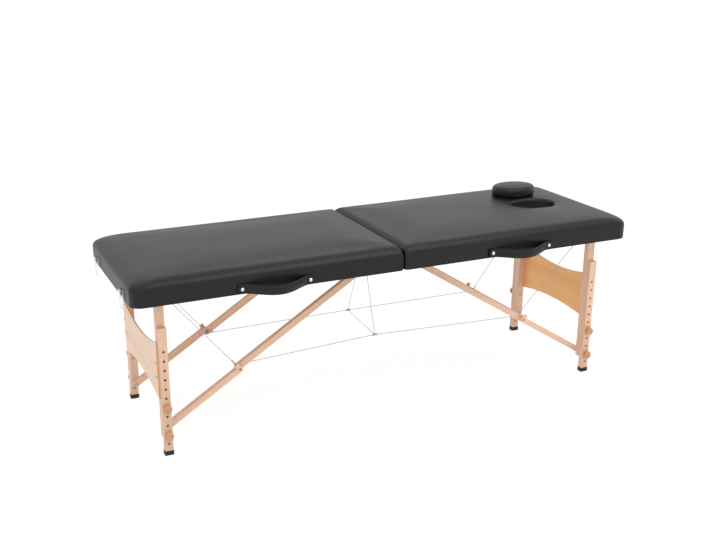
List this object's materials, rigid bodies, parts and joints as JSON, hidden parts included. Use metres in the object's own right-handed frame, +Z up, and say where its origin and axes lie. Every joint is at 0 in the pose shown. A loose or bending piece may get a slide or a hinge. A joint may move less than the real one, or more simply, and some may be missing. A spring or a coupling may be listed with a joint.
{
  "type": "folding massage table",
  "caption": "Portable massage table: two padded vinyl halves on folding wooden legs with height holes, braces, cables, face hole with loose plug, strap handles and latches.",
  "frame": {"origin": "on the floor, at the middle of the whole outline with the front handles and the rear bumpers; the hinge line is at x = 0, and the table's own middle line is 20 mm behind the origin", "axes": "+X from the foot end to the head end with the face hole, +Y from the handle side to the rear, +Z up"},
  "size_m": [1.8986, 0.6646, 0.6778],
  "materials": {
    "beech": "satin",
    "plywood": "satin",
    "frame_wood": "matte",
    "vinyl": "satin",
    "foam": "matte",
    "rubber": "matte",
    "zinc": "satin",
    "chrome": "polished",
    "cable": "satin"
  },
  "bodies": {
    "foot_section": {"foot_side_rails": "frame_wood", "foot_cross_rails": "frame_wood", "foot_deck": "plywood", "foot_foam": "foam", "foot_cover": "vinyl", "foot_pivot_blocks": "frame_wood", "foot_hinge_leaves": "zinc", "latch_bases": "chrome", "foot_handle": "vinyl", "foot_handle_screws": "chrome", "foot_bumpers": "rubber", "foot_cables": "cable"},
    "hinge_rod": {"hinge_rod": "zinc", "centre_cables": "cable"},
    "head_section": {"head_side_rails": "frame_wood", "head_cross_rails": "frame_wood", "head_deck": "plywood", "head_foam": "foam", "head_cover": "vinyl", "head_pivot_blocks": "frame_wood", "head_hinge_leaves": "zinc", "latch_keepers": "chrome", "head_handle": "vinyl", "head_handle_screws": "chrome", "head_bumpers": "rubber", "head_cables": "cable"},
    "foot_leg_frame": {"foot_front_leg": "beech", "foot_rear_leg": "beech", "foot_leg_panel": "plywood", "foot_leg_fasteners": "zinc", "foot_knobs": "beech"},
    "foot_front_extension": {"foot_front_leg_extension": "beech", "foot_front_rubber_foot": "rubber"},
    "foot_rear_extension": {"foot_rear_leg_extension": "beech", "foot_rear_rubber_foot": "rubber"},
    "foot_upper_braces": {"foot_upper_braces": "beech", "foot_brace_hardware": "zinc"},
    "foot_lower_braces": {"foot_lower_braces": "beech", "foot_knuckle_plates": "zinc"},
    "head_leg_frame": {"head_front_leg": "beech", "head_rear_leg": "beech", "head_leg_panel": "plywood", "head_leg_fasteners": "zinc", "head_knobs": "beech"},
    "head_front_extension": {"head_front_leg_extension": "beech", "head_front_rubber_foot": "rubber"},
    "head_rear_extension": {"head_rear_leg_extension": "beech", "head_rear_rubber_foot": "rubber"},
    "head_upper_braces": {"head_upper_braces": "beech", "head_brace_hardware": "zinc"},
    "head_lower_braces": {"head_lower_braces": "beech", "head_knuckle_plates": "zinc"},
    "front_latch_lever": {"front_latch_lever": "chrome"},
    "front_latch_bail": {"front_latch_bail": "chrome"},
    "rear_latch_lever": {"rear_latch_lever": "chrome"},
    "rear_latch_bail": {"rear_latch_bail": "chrome"},
    "face_plug": {"face_plug": "vinyl"}
  },
  "joints": [
    {"name": "table_close", "type": "hinge", "parent": "foot_section", "child": "hinge_rod", "pos_m": [0, 0.02, 0.543], "axis": [0, 1, 0], "range_deg": [0, 90]},
    {"name": "table_fold", "type": "hinge", "parent": "hinge_rod", "child": "head_section", "pos_m": [0, 0.02, 0.543], "axis": [0, 1, 0], "range_deg": [0, 90], "deforming": ["foot_cables", "head_cables"]},
    {"name": "foot_leg_fold", "type": "hinge", "parent": "foot_section", "child": "foot_leg_frame", "pos_m": [-0.835, 0.02, 0.571], "axis": [0, -1, 0], "range_deg": [0, 90]},
    {"name": "foot_upper_brace_fold", "type": "hinge", "parent": "foot_section", "child": "foot_upper_braces", "pos_m": [-0.055, 0.02, 0.561], "axis": [0, 1, 0], "range_deg": [0, 33.97]},
    {"name": "foot_lower_brace_fold", "type": "hinge", "parent": "foot_leg_frame", "child": "foot_lower_braces", "pos_m": [-0.835, 0.02, 0.0747], "axis": [0, -1, 0], "range_deg": [0, 56.05]},
    {"name": "foot_front_extend", "type": "slide", "parent": "foot_leg_frame", "child": "foot_front_extension", "axis": [0, 0, -1], "range_m": [-0.0327, 0.1962]},
    {"name": "foot_rear_extend", "type": "slide", "parent": "foot_leg_frame", "child": "foot_rear_extension", "axis": [0, 0, -1], "range_m": [-0.0327, 0.1962]},
    {"name": "head_leg_fold", "type": "hinge", "parent": "head_section", "child": "head_leg_frame", "pos_m": [0.835, 0.02, 0.571], "axis": [0, 1, 0], "range_deg": [0, 90]},
    {"name": "head_upper_brace_fold", "type": "hinge", "parent": "head_section", "child": "head_upper_braces", "pos_m": [0.055, 0.02, 0.561], "axis": [0, -1, 0], "range_deg": [0, 33.97]},
    {"name": "head_lower_brace_fold", "type": "hinge", "parent": "head_leg_frame", "child": "head_lower_braces", "pos_m": [0.835, 0.02, 0.0747], "axis": [0, 1, 0], "range_deg": [0, 56.05]},
    {"name": "head_front_extend", "type": "slide", "parent": "head_leg_frame", "child": "head_front_extension", "axis": [0, 0, -1], "range_m": [-0.0327, 0.1962]},
    {"name": "head_rear_extend", "type": "slide", "parent": "head_leg_frame", "child": "head_rear_extension", "axis": [0, 0, -1], "range_m": [-0.0327, 0.1962]},
    {"name": "front_latch_open", "type": "hinge", "parent": "foot_section", "child": "front_latch_lever", "pos_m": [-0.9448, -0.165, 0.571], "axis": [0, 1, 0], "range_deg": [0, 110]},
    {"name": "front_bail_swing", "type": "hinge", "parent": "front_latch_lever", "child": "front_latch_bail", "pos_m": [-0.9448, -0.165, 0.56], "axis": [0, 1, 0], "range_deg": [0, 60]},
    {"name": "rear_latch_open", "type": "hinge", "parent": "foot_section", "child": "rear_latch_lever", "pos_m": [-0.9448, 0.205, 0.571], "axis": [0, 1, 0], "range_deg": [0, 110]},
    {"name": "rear_bail_swing", "type": "hinge", "parent": "rear_latch_lever", "child": "rear_latch_bail", "pos_m": [-0.9448, 0.205, 0.56], "axis": [0, 1, 0], "range_deg": [0, 60]},
    {"name": "plug_lift", "type": "slide", "parent": "head_section", "child": "face_plug", "axis": [0, 0, 1], "range_m": [0, 0.15]}
  ],
  "couplings": [
    {"joint": "foot_leg_fold", "follows": "table_fold", "ratio": 1},
    {"joint": "foot_upper_brace_fold", "follows": "table_fold", "ratio": 0.37734},
    {"joint": "foot_lower_brace_fold", "follows": "table_fold", "ratio": 0.62266},
    {"joint": "head_leg_fold", "follows": "table_fold", "ratio": 1},
    {"joint": "head_upper_brace_fold", "follows": "table_fold", "ratio": 0.37734},
    {"joint": "head_lower_brace_fold", "follows": "table_fold", "ratio": 0.62266}
  ]
}
